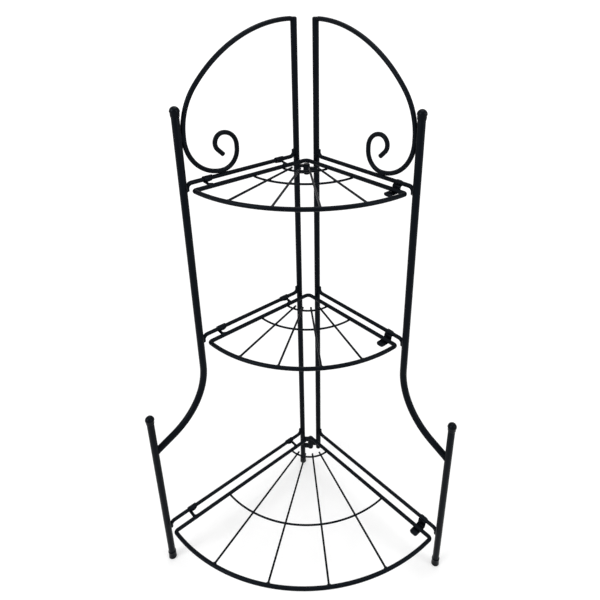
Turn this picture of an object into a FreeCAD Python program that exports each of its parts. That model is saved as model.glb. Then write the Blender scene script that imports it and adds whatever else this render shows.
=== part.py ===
import FreeCAD, Part
import math
import os
import Sketcher
from FreeCAD import Placement, Rotation, Vector

# Tiered plant stand: two wire side frames hinged together at the back, and
# three quarter-round shelves that hang on the left frame and rest on the right.
# Origin: middle of the footprint on the floor. +Z is up, the open front is -Y.
# All lengths are in millimetres, all angles in degrees.

os.makedirs("parts", exist_ok=True)
doc = FreeCAD.newDocument("tiered_plant_stand")
sheet = doc.addObject("Spreadsheet::Sheet", "sizes")


# ---------------------------------------------------------------- values

class Size:
    """A number together with the sheet formula that gives it."""

    def __init__(self, value, text):
        self.value = float(value)
        self.text = text

    def __add__(self, other):
        other = as_size(other)
        return Size(self.value + other.value, "(%s + %s)" % (self.text, other.text))

    def __sub__(self, other):
        other = as_size(other)
        return Size(self.value - other.value, "(%s - %s)" % (self.text, other.text))

    def __mul__(self, other):
        other = as_size(other)
        return Size(self.value * other.value, "(%s * %s)" % (self.text, other.text))

    def __truediv__(self, other):
        other = as_size(other)
        return Size(self.value / other.value, "(%s / %s)" % (self.text, other.text))

    def __radd__(self, other):
        return as_size(other) + self

    def __rsub__(self, other):
        return as_size(other) - self

    def __rmul__(self, other):
        return as_size(other) * self

    def __neg__(self):
        return as_size(0) - self


def as_size(thing):
    return thing if isinstance(thing, Size) else Size(thing, repr(float(thing)))


def sine(angle):
    angle = as_size(angle)
    return Size(math.sin(math.radians(angle.value)), "sin(%s)" % angle.text)


def cosine(angle):
    angle = as_size(angle)
    return Size(math.cos(math.radians(angle.value)), "cos(%s)" % angle.text)


def root(number):
    return Size(math.sqrt(number.value), "sqrt(%s)" % number.text)


def arc_cosine(number):
    return Size(math.degrees(math.acos(number.value)), "(acos(%s) / (1 deg))" % number.text)


def arc_tangent(number):
    return Size(math.degrees(math.atan(number.value)), "(atan(%s) / (1 deg))" % number.text)


row_of = {}


def sized(name, value):
    """Enter one value in the sheet and hand back the Size that reads it."""
    row = len(row_of) + 1
    row_of[name] = row
    sheet.set("A%d" % row, name)
    sheet.set("B%d" % row, str(value))
    sheet.setAlias("B%d" % row, name)
    return Size(value, "sizes.%s" % name)


ZERO = as_size(0)
ROOT2 = root(as_size(2))

# Wire and tube
inner_post_dia = sized("inner_post_dia", 8)
outer_post_dia = sized("outer_post_dia", 9)
scroll_dia = sized("scroll_dia", 5.6)
rail_dia = sized("rail_dia", 5.2)
rim_dia = sized("rim_dia", 5.4)
spoke_dia = sized("spoke_dia", 2.8)
strip_width = sized("strip_width", 12)
strip_thickness = sized("strip_thickness", 1.6)

# Side frames, measured outward from the inner post and up from the floor
post_spacing = sized("post_spacing", 26)
outer_post_reach = sized("outer_post_reach", 165)
lower_post_reach = sized("lower_post_reach", 245)
arch_height = sized("arch_height", 710)
lower_post_top = sized("lower_post_top", 253)
right_inner_post_bottom = sized("right_inner_post_bottom", 33)
bottom_rail_height = sized("bottom_rail_height", 66)
middle_rail_height = sized("middle_rail_height", 338)
top_rail_height = sized("top_rail_height", 543)
rail_bend = sized("rail_bend", 6)
rail_stub = sized("rail_stub", 9)

# Foot of the outer post, where it sweeps out to the lower post
flare_start_height = sized("flare_start_height", 293)
flare_radius = sized("flare_radius", 90)
flare_slope = sized("flare_slope", 4.5)
flare_return_radius = sized("flare_return_radius", 9)
flare_tail = sized("flare_tail", 3)

# Scroll on top of each side frame
plug_depth = sized("plug_depth", 12)
plug_bend = sized("plug_bend", 6)
plug_rise = sized("plug_rise", 1)
arch_fullness = sized("arch_fullness", 0.683)
bowl_lead = sized("bowl_lead", 4)
bowl_radius = sized("bowl_radius", 45)
curl_low_radius = sized("curl_low_radius", 22)
curl_rise = sized("curl_rise", 4)
curl_high_radius = sized("curl_high_radius", 18)
curl_tip_radius = sized("curl_tip_radius", 11)
curl_tip_angle = sized("curl_tip_angle", 135)
curl_tip_length = sized("curl_tip_length", 9.5)

# Finials and foot caps
finial_dome_dia = sized("finial_dome_dia", 11.5)
finial_skirt_dia = sized("finial_skirt_dia", 10.4)
finial_skirt = sized("finial_skirt", 5)
finial_step = sized("finial_step", 0.8)
finial_scroll_gap = sized("finial_scroll_gap", 3)
foot_dia = sized("foot_dia", 11)
inner_foot_dia = sized("inner_foot_dia", 10)
foot_height = sized("foot_height", 12)
foot_floor = sized("foot_floor", 2)
foot_chamfer = sized("foot_chamfer", 0.8)
foot_wall = sized("foot_wall", 0.6)

# Shelves: inset of the side rods from the rail planes, radius of the fan
upper_shelf_inset = sized("upper_shelf_inset", 8)
bottom_shelf_inset = sized("bottom_shelf_inset", 12)
upper_shelf_end_gap = sized("upper_shelf_end_gap", 1.2)
bottom_shelf_overreach = sized("bottom_shelf_overreach", 2.8)
shelf_corner = sized("shelf_corner", 7)
shelf_nose = sized("shelf_nose", 6)
spoke_tip_radius = sized("spoke_tip_radius", 35.5)
inner_arc_radius = sized("inner_arc_radius", 39)
upper_mid_arc_setback = sized("upper_mid_arc_setback", 83)
bottom_mid_arc_setback = sized("bottom_mid_arc_setback", 89)

# Clips that turn on the left rails, strips that hold up the right side
clip_play = sized("clip_play", 0.1)
clip_lip = sized("clip_lip", 0.6)
rear_clip_place = sized("rear_clip_place", 47)
upper_front_clip_setback = sized("upper_front_clip_setback", 24.8)
bottom_front_clip_setback = sized("bottom_front_clip_setback", 31.3)
rest_setback = sized("rest_setback", 20)
rest_gap = sized("rest_gap", 0.3)
rest_bend = sized("rest_bend", 1.9)
rest_slope = sized("rest_slope", 80)
rest_overhang = sized("rest_overhang", 6)
rest_nose = sized("rest_nose", 2.4)

# Hinges between the two inner posts
hinge_pin_dia = sized("hinge_pin_dia", 4)
hinge_pin_play = sized("hinge_pin_play", 0.1)
hinge_barrel_dia = sized("hinge_barrel_dia", 9)
hinge_arm_width = sized("hinge_arm_width", 5)
hinge_head_dia = sized("hinge_head_dia", 7)
hinge_head = sized("hinge_head", 1.2)
hinge_side_play = sized("hinge_side_play", 0.2)
lower_hinge_height = sized("lower_hinge_height", 43)
lower_hinge_stack = sized("lower_hinge_stack", 20)
upper_hinge_stack = sized("upper_hinge_stack", 12)
upper_hinge_gap = sized("upper_hinge_gap", 1.6)

# ------------------------------------------------------- derived values

# The two frame planes cross behind the inner posts, under 45 degrees to -Y
corner_back = post_spacing / 2
corner_to_post = post_spacing / ROOT2
rail_start = inner_post_dia / 2 + rail_dia / 2
outer_rail_end = outer_post_reach - outer_post_dia / 2 - rail_dia / 2
lower_rail_end = lower_post_reach - outer_post_dia / 2 - rail_dia / 2
shelf_drop = rail_dia / 2 + clip_play + strip_thickness + rim_dia / 2
roll_radius = rail_dia / 2 + clip_play + strip_thickness / 2
rest_roll_radius = rail_dia / 2 + strip_thickness / 2
inner_post_top = arch_height - plug_bend - plug_rise

# Shelves reach almost to the post at the front end of their rails, and clips
# and rest strips keep their distance from the bends of those rails
upper_shelf_end = corner_to_post + outer_post_reach - outer_post_dia / 2 - upper_shelf_end_gap
bottom_shelf_end = corner_to_post + lower_post_reach - outer_post_dia / 2 + bottom_shelf_overreach
upper_shelf_radius = upper_shelf_end - upper_shelf_inset - rim_dia / 2
bottom_shelf_radius = bottom_shelf_end - bottom_shelf_inset - rim_dia / 2
upper_mid_arc_radius = upper_shelf_radius - upper_mid_arc_setback
bottom_mid_arc_radius = bottom_shelf_radius - bottom_mid_arc_setback
upper_front_clip_place = corner_to_post + outer_rail_end - upper_front_clip_setback
bottom_front_clip_place = corner_to_post + lower_rail_end - bottom_front_clip_setback
upper_rest_place = corner_to_post + outer_rail_end - rest_setback
bottom_rest_place = corner_to_post + lower_rail_end - rest_setback

# The stand is centred on its footprint: rearmost are the inner foot cap and
# post, foremost is the front of the bottom shelf
front_edge = (corner_back - ROOT2 * bottom_shelf_inset
              - bottom_shelf_radius - rim_dia / 2)
centre_shift = -(front_edge + inner_foot_dia / 2) / 2

doc.recompute()

ACROSS_LEFT = Rotation(Vector(0, 0, 1), 225)
ACROSS_RIGHT = Rotation(Vector(0, 0, 1), 315)
ACROSS_REST = Rotation(Vector(0, 0, 1), 135)
UNTURNED = Rotation()

nodes = {}
expected = {}


# --------------------------------------------------------------- helpers

def place(thing, x, y, z, turn):
    """Set where a document object stands, tied to the sheet."""
    x, y, z = as_size(x), as_size(y), as_size(z)
    thing.Placement = Placement(Vector(x.value, y.value, z.value), turn)
    for axis, size in (("x", x), ("y", y), ("z", z)):
        thing.setExpression("Placement.Base.%s" % axis, size.text)


def left_frame_at(thing):
    place(thing, -post_spacing / 2, centre_shift, ZERO, ACROSS_LEFT)


def right_frame_at(thing):
    place(thing, post_spacing / 2, centre_shift, ZERO, ACROSS_RIGHT)


def new_body(label):
    body = doc.addObject("PartDesign::Body", label)
    body.Label = label
    nodes[label] = body
    return body


def origin_plane(body, role):
    return [f for f in body.Origin.OriginFeatures if f.Role == role][0]


def new_sketch(body, role, name, lift=ZERO):
    """A sketch attached to one of the body's own planes, at a set distance."""
    sketch = body.newObject("Sketcher::SketchObject", name)
    sketch.AttachmentSupport = (origin_plane(body, role), [""])
    sketch.MapMode = "FlatFace"
    sketch.AttachmentOffset = Placement(Vector(0, 0, lift.value), UNTURNED)
    sketch.setExpression("AttachmentOffset.Base.z", lift.text)
    return sketch


def bind(sketch, size, *parts):
    """Add a dimension that reads its value from the sheet."""
    size = as_size(size)
    value = math.radians(size.value) if parts[0] == "Angle" else size.value
    index = sketch.addConstraint(Sketcher.Constraint(*parts, value))
    name = "dimension_%d" % index
    sketch.renameConstraint(index, name)
    sketch.setExpression("Constraints.%s" % name, size.text)


def fix_point(sketch, geometry, point, x, y):
    for kind, axis, size in (("DistanceX", -2, x), ("DistanceY", -1, y)):
        if size.value == 0:
            sketch.addConstraint(Sketcher.Constraint("PointOnObject", geometry, point, axis))
        else:
            bind(sketch, size, kind, geometry, point)


def add_circle(sketch, x, y, diameter):
    centre = Vector(x.value, y.value, 0)
    index = sketch.addGeometry(Part.Circle(centre, Vector(0, 0, 1), diameter.value / 2))
    bind(sketch, diameter, "Diameter", index)
    fix_point(sketch, index, 3, x, y)


def add_rectangle(sketch, x, y, width, height):
    """A rectangle centred on (x, y)."""
    west = x.value - width.value / 2
    south = y.value - height.value / 2
    east = west + width.value
    north = south + height.value
    corners = [Vector(west, south), Vector(east, south), Vector(east, north), Vector(west, north)]
    for i in range(4):
        sketch.addGeometry(Part.LineSegment(corners[i], corners[(i + 1) % 4]))
    for i in range(4):
        sketch.addConstraint(Sketcher.Constraint("Coincident", i, 2, (i + 1) % 4, 1))
        level = "Horizontal" if i % 2 == 0 else "Vertical"
        sketch.addConstraint(Sketcher.Constraint(level, i))
    bind(sketch, width, "DistanceX", 0, 1, 0, 2)
    bind(sketch, height, "DistanceY", 1, 1, 1, 2)
    fix_point(sketch, 0, 1, x - width / 2, y - height / 2)


def add_path(sketch, x, y, heading, moves):
    """Draw lines and arcs one after the other, each tangent to the last.

    A move is ("line", length), ("left", radius, angle) or ("right", radius,
    angle). The first move is a line along an axis. Returns the path length.
    """
    at = Vector(x.value, y.value, 0)
    total = 0.0
    before = None
    for move in moves:
        along = Vector(math.cos(math.radians(heading)), math.sin(math.radians(heading)), 0)
        if move[0] == "line":
            length = as_size(move[1])
            end = at + along * length.value
            index = sketch.addGeometry(Part.LineSegment(at, end))
            start_point, end_point = 1, 2
            bind(sketch, length, "Distance", index)
            total += length.value
        else:
            radius, angle = as_size(move[1]), as_size(move[2])
            side = 1 if move[0] == "left" else -1
            centre = at + Vector(-along.y, along.x, 0) * (side * radius.value)
            first = math.atan2(at.y - centre.y, at.x - centre.x)
            last = first + side * math.radians(angle.value)
            circle = Part.Circle(centre, Vector(0, 0, 1), radius.value)
            index = sketch.addGeometry(Part.ArcOfCircle(circle, min(first, last), max(first, last)))
            start_point, end_point = (1, 2) if side > 0 else (2, 1)
            bind(sketch, radius, "Radius", index)
            bind(sketch, angle, "Angle", index)
            end = centre + Vector(math.cos(last), math.sin(last), 0) * radius.value
            heading += side * angle.value
            total += radius.value * math.radians(angle.value)
        if before is None:
            level = "Vertical" if heading % 180 else "Horizontal"
            sketch.addConstraint(Sketcher.Constraint(level, index))
            fix_point(sketch, index, start_point, x, y)
        else:
            join = (before[0], before[1], index, start_point)
            sketch.addConstraint(Sketcher.Constraint("Tangent", *join))
        before = (index, end_point)
        at = end
    return total


def sweep(body, profile, path):
    pipe = body.newObject("PartDesign::AdditivePipe", body.Label + "_pipe")
    pipe.Profile = profile
    pipe.Spine = (path, ["Edge%d" % (i + 1) for i in range(path.GeometryCount)])
    body.Tip = pipe


def bent_wire(label, diameter, x, z, heading, moves):
    """A round wire bent in the plane of a side frame."""
    body = new_body(label)
    path = new_sketch(body, "XZ_Plane", label + "_path")
    length = add_path(path, x, z, heading, moves)
    section = new_sketch(body, "XY_Plane", label + "_section", z)
    add_circle(section, x, ZERO, diameter)
    sweep(body, section, path)
    expected[label] = length * math.pi * diameter.value ** 2 / 4
    return body


def bent_strip(label, y, z, heading, moves):
    """A flat strip bent round a rail that runs along X."""
    body = new_body(label)
    path = new_sketch(body, "YZ_Plane", label + "_path")
    length = add_path(path, y, z, heading, moves)
    section = new_sketch(body, "XY_Plane", label + "_section", z)
    add_rectangle(section, ZERO, y, strip_width, strip_thickness)
    sweep(body, section, path)
    expected[label] = length * strip_width.value * strip_thickness.value
    return body


def straight_post(label, diameter, reach, bottom, top):
    body = new_body(label)
    section = new_sketch(body, "XY_Plane", label + "_section", bottom)
    add_circle(section, reach, ZERO, diameter)
    pad = body.newObject("PartDesign::Pad", label + "_pad")
    pad.Profile = section
    pad.Length = (top - bottom).value
    pad.setExpression("Length", (top - bottom).text)
    body.Tip = pad
    expected[label] = (top - bottom).value * math.pi * diameter.value ** 2 / 4
    return body


def blind_bore(body, diameter, top, depth):
    """Bore the top of a post for the scroll that plugs into it."""
    mouth = new_sketch(body, "XY_Plane", body.Label + "_mouth", top)
    add_circle(mouth, ZERO, ZERO, diameter)
    bore = body.newObject("PartDesign::Pocket", body.Label + "_bore")
    bore.Profile = mouth
    bore.Length = depth.value
    bore.setExpression("Length", depth.text)
    body.Tip = bore
    expected[body.Label] -= depth.value * math.pi * diameter.value ** 2 / 4


def turned(label, points, dome_radius=None):
    """A round piece: the outline (radius, height) turned about the vertical.

    When dome_radius is given, the last edge, from the last point back to the
    first one on the axis, is an arc of that radius instead of a line.
    """
    body = new_body(label)
    outline = new_sketch(body, "XZ_Plane", label + "_outline")
    points = [(as_size(r), as_size(h)) for r, h in points]
    flat = [Vector(r.value, h.value, 0) for r, h in points]
    count = len(flat)
    edges = []
    for i in range(count - (1 if dome_radius else 0)):
        edges.append(outline.addGeometry(Part.LineSegment(flat[i], flat[(i + 1) % count])))
        fix_point(outline, edges[-1], 1, *points[i])
    if dome_radius:
        centre = Vector(0, flat[-1].y, 0)
        circle = Part.Circle(centre, Vector(0, 0, 1), dome_radius.value)
        edges.append(outline.addGeometry(Part.ArcOfCircle(circle, 0, math.pi / 2)))
        bind(outline, dome_radius, "Radius", edges[-1])
        fix_point(outline, edges[-1], 3, ZERO, points[-1][1])
        bind(outline, points[-1][1], "DistanceY", edges[-1], 1)
    ends = [(edge, 1, 2) for edge in edges]
    if dome_radius:
        crown = centre + Vector(0, dome_radius.value, 0)
        axis_line = outline.addGeometry(Part.LineSegment(crown, flat[0]))
        outline.addConstraint(Sketcher.Constraint("Vertical", axis_line))
        ends.append((axis_line, 1, 2))
    for (one, _, one_end), (two, two_start, _) in zip(ends, ends[1:] + ends[:1]):
        outline.addConstraint(Sketcher.Constraint("Coincident", one, one_end, two, two_start))
    spin = body.newObject("PartDesign::Revolution", label + "_turn")
    spin.Profile = outline
    spin.ReferenceAxis = (outline, ["V_Axis"])
    spin.Angle = 360
    body.Tip = spin
    return body


def check(thing, label):
    shape = thing.Shape
    if "Invalid" in thing.State or "Error" in thing.State:
        raise RuntimeError("%s did not build: %s" % (label, thing.State))
    if shape.isNull() or not shape.isValid() or not shape.Solids:
        raise RuntimeError("%s has no valid solid" % label)
    if label in expected and abs(shape.Volume / expected[label] - 1) > 0.002:
        raise RuntimeError("%s volume %.1f, expected %.1f" % (label, shape.Volume, expected[label]))


# ------------------------------------------------------------ side frames

# The flare turns out by the angle that brings it against the lower post
flare_run = lower_post_reach - outer_post_dia - outer_post_reach
flare_bends = flare_radius + flare_return_radius
flare_whole = root(flare_bends * flare_bends + flare_slope * flare_slope)
flare_lean = arc_tangent(flare_slope / flare_bends)
flare_angle = arc_cosine((flare_bends - flare_run) / flare_whole) - flare_lean

# The arch is two arcs that meet: a wide one off the plug, a tighter one that
# comes down along the outer post just above the bowl
arch_end_reach = outer_post_reach - outer_post_dia / 2 - scroll_dia / 2
arch_width = arch_end_reach - plug_bend
bowl_bottom = top_rail_height + rail_dia / 2 + scroll_dia / 2
arch_end_height = bowl_bottom + bowl_radius + bowl_lead
arch_drop = arch_height - arch_end_height
arch_angle = 2 * arch_fullness * arc_tangent(arch_drop / arch_width)
arch_share = sine(arch_angle) + cosine(arch_angle) - 1
arch_radius = (arch_width * cosine(arch_angle) - arch_drop * (1 - sine(arch_angle))) / arch_share
arch_end_radius = (arch_drop * sine(arch_angle) - arch_width * (1 - cosine(arch_angle))) / arch_share

# The outer post ends where the scroll has swung clear of its finial
outer_post_top = arch_end_height + finial_skirt + root(2 * arch_end_radius * finial_scroll_gap)

SCROLL_MOVES = [
    ("line", plug_depth + plug_rise),
    ("right", plug_bend, 90),
    ("right", arch_radius, arch_angle),
    ("right", arch_end_radius, 90 - arch_angle),
    ("line", bowl_lead),
    ("right", bowl_radius, 90),
    ("right", curl_low_radius, 90),
    ("line", curl_rise),
    ("right", curl_high_radius, 90),
    ("right", curl_tip_radius, curl_tip_angle),
    ("line", curl_tip_length),
]

OUTER_POST_MOVES = [
    ("line", outer_post_top - flare_start_height),
    ("left", flare_radius, flare_angle),
    ("line", flare_slope),
    ("right", flare_return_radius, flare_angle),
    ("line", flare_tail),
]


def rail(label, height, end):
    """A rail whose ends bend up along the inner post and down along the outer."""
    top = height + rail_bend + rail_stub
    span = end - rail_start - 2 * rail_bend
    return bent_wire(label, rail_dia, rail_start, top, 270, [
        ("line", rail_stub),
        ("left", rail_bend, 90),
        ("line", span),
        ("right", rail_bend, 90),
        ("line", rail_stub),
    ])


def finial(label):
    """A cap with a domed head, pushed over the top of a post."""
    post = outer_post_dia / 2
    skirt = finial_skirt_dia / 2
    dome = finial_dome_dia / 2
    return turned(label, [
        (ZERO, ZERO),
        (post, ZERO),
        (post, -finial_skirt),
        (skirt, -finial_skirt),
        (skirt, ZERO),
        (dome, finial_step),
    ], dome)


def foot_cap(label, cap_dia, post_dia):
    """A cup on the end of a post: flat below, a little wider at the floor."""
    wide = cap_dia / 2
    post = post_dia / 2
    return turned(label, [
        (ZERO, ZERO),
        (wide - foot_chamfer, ZERO),
        (wide, foot_chamfer),
        (post + foot_wall, foot_height),
        (post, foot_height),
        (post, foot_floor),
        (ZERO, foot_floor),
    ])


def along_frame(thing, side, reach, height):
    """Stand a piece on its own origin at a reach and height in a side frame."""
    turn = ACROSS_LEFT if side == "left" else ACROSS_RIGHT
    sign = -1 if side == "left" else 1
    x = sign * (post_spacing / 2 + reach / ROOT2)
    y = centre_shift - reach / ROOT2
    place(thing, x, y, height, turn)


for side, frame_at, inner_bottom in (
        ("left", left_frame_at, foot_floor),
        ("right", right_frame_at, right_inner_post_bottom)):
    inner = straight_post(side + "_inner_post", inner_post_dia, ZERO, inner_bottom, inner_post_top)
    blind_bore(inner, scroll_dia, inner_post_top, plug_depth)
    frame_at(inner)
    frame_at(bent_wire(side + "_outer_post", outer_post_dia, outer_post_reach,
                       outer_post_top, 270, OUTER_POST_MOVES))
    frame_at(straight_post(side + "_lower_post", outer_post_dia, lower_post_reach,
                           foot_floor, lower_post_top))
    frame_at(bent_wire(side + "_scroll", scroll_dia, ZERO, inner_post_top - plug_depth, 90,
                       SCROLL_MOVES))
    frame_at(rail(side + "_top_rail", top_rail_height, outer_rail_end))
    frame_at(rail(side + "_middle_rail", middle_rail_height, outer_rail_end))
    frame_at(rail(side + "_bottom_rail", bottom_rail_height, lower_rail_end))
    upper = finial(side + "_upper_finial")
    along_frame(upper, side, outer_post_reach, outer_post_top)
    lower = finial(side + "_lower_finial")
    along_frame(lower, side, lower_post_reach, lower_post_top)
    cap = foot_cap(side + "_foot_cap", foot_dia, outer_post_dia)
    along_frame(cap, side, lower_post_reach, ZERO)

left_frame_at(foot_cap("inner_foot_cap", inner_foot_dia, inner_post_dia))


# ---------------------------------------------------------------- hinges

def solid(kind, name, **sizes):
    """A plain solid whose measures read from the sheet."""
    thing = doc.addObject("Part::%s" % kind, name)
    for key, value in sizes.items():
        value = as_size(value)
        setattr(thing, key, value.value)
        thing.setExpression(key, value.text)
    return thing


def cut(name, base, tool):
    thing = doc.addObject("Part::Cut", name)
    thing.Base = base
    thing.Tool = tool
    return thing


def knuckle(name, side, bottom, height, bore_dia):
    """A barrel round the hinge pin with an arm coped onto one inner post."""
    reach = post_spacing / 2
    barrel = solid("Cylinder", name + "_barrel", Radius=hinge_barrel_dia / 2, Height=height)
    place(barrel, ZERO, centre_shift, bottom, UNTURNED)
    arm = solid("Box", name + "_arm", Length=reach, Width=hinge_arm_width, Height=height)
    arm_x = -reach if side == "left" else ZERO
    place(arm, arm_x, centre_shift - hinge_arm_width / 2, bottom, UNTURNED)
    blank = doc.addObject("Part::Fuse", name + "_blank")
    blank.Base = barrel
    blank.Tool = arm
    bore = solid("Cylinder", name + "_bore", Radius=bore_dia / 2, Height=height)
    place(bore, ZERO, centre_shift, bottom, UNTURNED)
    post = solid("Cylinder", name + "_cope", Radius=inner_post_dia / 2, Height=height)
    post_x = -reach if side == "left" else reach
    place(post, post_x, centre_shift, bottom, UNTURNED)
    return cut(name, cut(name + "_bored", blank, bore), post)


def named_group(label, pieces):
    group = doc.addObject("Part::Compound", label)
    group.Label = label
    group.Links = pieces
    nodes[label] = group
    return group


def hinge(level, middle, stack):
    """Two knuckles on the left post, one between them on the right, one pin."""
    end_height = (stack - 2 * hinge_side_play) * 0.3
    mid_height = (stack - 2 * hinge_side_play) * 0.4
    bottom = middle - stack / 2
    centre = middle - mid_height / 2
    top = middle + stack / 2 - end_height
    name = level + "_hinge"
    named_group(name + "_left_knuckles", [
        knuckle(name + "_low", "left", bottom, end_height, hinge_pin_dia),
        knuckle(name + "_high", "left", top, end_height, hinge_pin_dia),
    ])
    moving = knuckle(name + "_right_knuckle", "right", centre, mid_height,
                     hinge_pin_dia + 2 * hinge_pin_play)
    nodes[name + "_right_knuckle"] = moving
    radius = hinge_pin_dia / 2
    head = hinge_head_dia / 2
    half = stack / 2
    pin = turned(name + "_pin", [
        (ZERO, -half - hinge_head),
        (head, -half - hinge_head),
        (head, -half),
        (radius, -half),
        (radius, half),
        (head, half),
        (head, half + hinge_head),
        (ZERO, half + hinge_head),
    ])
    place(pin, ZERO, centre_shift, middle, UNTURNED)


# The upper hinge sits right under the nose of the top shelf, above the reach
# of the raised middle shelf
top_shelf_underside = top_rail_height - shelf_drop - rim_dia / 2
upper_hinge_top = top_shelf_underside - upper_hinge_gap - hinge_head
hinge("lower", lower_hinge_height, lower_hinge_stack)
hinge("upper", upper_hinge_top - upper_hinge_stack / 2, upper_hinge_stack)


# --------------------------------------------------------------- shelves

SECTORS = 5


def shelf_at(thing, height):
    place(thing, ZERO, corner_back + centre_shift, height, ACROSS_LEFT)


def shelf_rim(label, inset, radius, height):
    """A closed rod: two side rods at right angles, a front arc, round corners."""
    body = new_body(label)
    path = new_sketch(body, "XY_Plane", label + "_path")
    a, big = inset.value, radius.value
    corner, nose = shelf_corner.value, shelf_nose.value
    far = a + math.sqrt((big - corner) ** 2 - corner ** 2)
    slope = math.asin(corner / (big - corner))
    up = Vector(0, 0, 1)

    def arc(x, y, r, first, last):
        circle = Part.Circle(Vector(x, y, 0), up, r)
        return path.addGeometry(Part.ArcOfCircle(circle, first, last))

    quarter = math.pi / 2
    side_one = path.addGeometry(Part.LineSegment(Vector(a + nose, a), Vector(far, a)))
    corner_one = arc(far, a + corner, corner, -quarter, slope)
    front = arc(a, a, big, slope, quarter - slope)
    corner_two = arc(a + corner, far, corner, quarter - slope, 2 * quarter)
    side_two = path.addGeometry(Part.LineSegment(Vector(a, far), Vector(a, a + nose)))
    tip = arc(a + nose, a + nose, nose, 2 * quarter, 3 * quarter)
    ring = [side_one, corner_one, front, corner_two, side_two, tip]
    for one, two in zip(ring, ring[1:] + ring[:1]):
        path.addConstraint(Sketcher.Constraint("Tangent", one, 2, two, 1))
    path.addConstraint(Sketcher.Constraint("Horizontal", side_one))
    path.addConstraint(Sketcher.Constraint("Vertical", side_two))
    bind(path, inset, "DistanceY", side_one, 1)
    bind(path, inset, "DistanceX", side_two, 1)
    fix_point(path, front, 3, inset, inset)
    bind(path, radius, "Radius", front)
    bind(path, shelf_corner, "Radius", corner_one)
    bind(path, shelf_corner, "Radius", corner_two)
    bind(path, shelf_nose, "Radius", tip)
    section = new_sketch(body, "YZ_Plane", label + "_section", inset + shelf_nose)
    add_circle(section, inset, ZERO, rim_dia)
    sweep(body, section, path)
    length = 2 * (far - a - nose) + 2 * corner * (quarter + slope)
    length += big * (quarter - 2 * slope) + nose * quarter
    expected[label] = length * math.pi * rim_dia.value ** 2 / 4
    shelf_at(body, height)
    return body


def shelf_arc(label, inset, radius, height, rim):
    """A thin arc under the spokes, its ends let into the side rods."""
    ring = solid("Torus", label + "_ring", Radius1=radius, Radius2=spoke_dia / 2, Angle3=90)
    place(ring, inset, inset, -spoke_dia, UNTURNED)
    blank = doc.addObject("Part::Compound", label + "_blank")
    blank.Links = [ring]
    shelf_at(blank, height)
    nodes[label] = cut(label, blank, rim)


def shelf_spokes(label, inset, radius, height, rim):
    """Thin straight rods that part the fan into equal sectors."""
    rods = []
    for i in range(1, SECTORS):
        angle = 90.0 * i / SECTORS
        rod = solid("Cylinder", "%s_%d" % (label, i), Radius=spoke_dia / 2,
                    Height=radius - spoke_tip_radius)
        tilt = Rotation(Vector(0, 0, 1), Vector(cosine(angle).value, sine(angle).value, 0))
        place(rod, inset + spoke_tip_radius * cosine(angle),
              inset + spoke_tip_radius * sine(angle), ZERO, tilt)
        rods.append(rod)
    blank = doc.addObject("Part::Compound", label + "_blank")
    blank.Links = rods
    shelf_at(blank, height)
    nodes[label] = cut(label, blank, rim)


def clip(label, inset, along, rail_height):
    """A strip rolled round the left rail and down the inside of the side rod."""
    body = bent_strip(label, roll_radius, -clip_lip, 90, [
        ("line", clip_lip),
        ("left", roll_radius, 270),
        ("line", inset),
        ("right", rim_dia / 2 + strip_thickness / 2, 90),
    ])
    place(body, -along / ROOT2, corner_back + centre_shift - along / ROOT2,
          rail_height, ACROSS_LEFT)


def rest(label, inset, along, rail_height):
    """A strip rolled tight round the right rail that reaches under the shelf."""
    plane = shelf_drop + rim_dia / 2 + rest_gap + strip_thickness / 2
    bends = 2 * rest_bend * (1 - cosine(rest_slope))
    slope = (plane - rest_roll_radius - bends) / sine(rest_slope)
    reached = 2 * rest_bend * sine(rest_slope) + slope * cosine(rest_slope)
    body = bent_strip(label, rest_roll_radius, -clip_lip, 90, [
        ("line", clip_lip),
        ("left", rest_roll_radius, 270),
        ("right", rest_bend, rest_slope),
        ("line", slope),
        ("left", rest_bend, rest_slope),
        ("line", inset + rim_dia / 2 + rest_overhang - reached),
        ("right", rest_nose, 90),
    ])
    place(body, along / ROOT2, corner_back + centre_shift - along / ROOT2,
          rail_height, ACROSS_REST)


TIERS = (
    ("top", top_rail_height, upper_shelf_inset, upper_shelf_radius,
     upper_mid_arc_radius, upper_front_clip_place, upper_rest_place),
    ("middle", middle_rail_height, upper_shelf_inset, upper_shelf_radius,
     upper_mid_arc_radius, upper_front_clip_place, upper_rest_place),
    ("bottom", bottom_rail_height, bottom_shelf_inset, bottom_shelf_radius,
     bottom_mid_arc_radius, bottom_front_clip_place, bottom_rest_place),
)

for tier, rail_height, inset, radius, mid_radius, front_place, rest_place in TIERS:
    name = tier + "_shelf"
    height = rail_height - shelf_drop
    rim = shelf_rim(name + "_rim", inset, radius, height)
    shelf_spokes(name + "_spokes", inset, radius, height, rim)
    shelf_arc(name + "_inner_arc", inset, inner_arc_radius, height, rim)
    shelf_arc(name + "_mid_arc", inset, mid_radius, height, rim)
    clip(name + "_front_clip", inset, front_place, rail_height)
    clip(name + "_rear_clip", inset, rear_clip_place, rail_height)
    rest("right_%s_rest" % tier, inset, rest_place, rail_height)


# ---------------------------------------------------------------- output

doc.recompute()
for sketch in doc.findObjects("Sketcher::SketchObject"):
    if "Invalid" in sketch.State or "Error" in sketch.State:
        raise RuntimeError("%s did not solve" % sketch.Label)

for label, thing in nodes.items():
    thing.Label = label
    check(thing, label)
    thing.Shape.exportStep("parts/%s.step" % label)
    print("%-30s %9.1f mm3" % (label, thing.Shape.Volume))
print("%d pieces" % len(nodes))
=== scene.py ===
# %% [markdown]
# # Tiered plant stand
# A corner stand of black powder coated wire: two side frames hinged at the
# back and three quarter-round shelves. The measured model comes in first and
# stays where it is. The scrolls, the spokes, the hinges and the straight posts
# keep their measured shape. Pieces whose bends are tighter or whose ends are
# rounder on the real stand are modelled anew in the same place and stand for
# the measured ones.

# %% Load the measured model
import math

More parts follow.
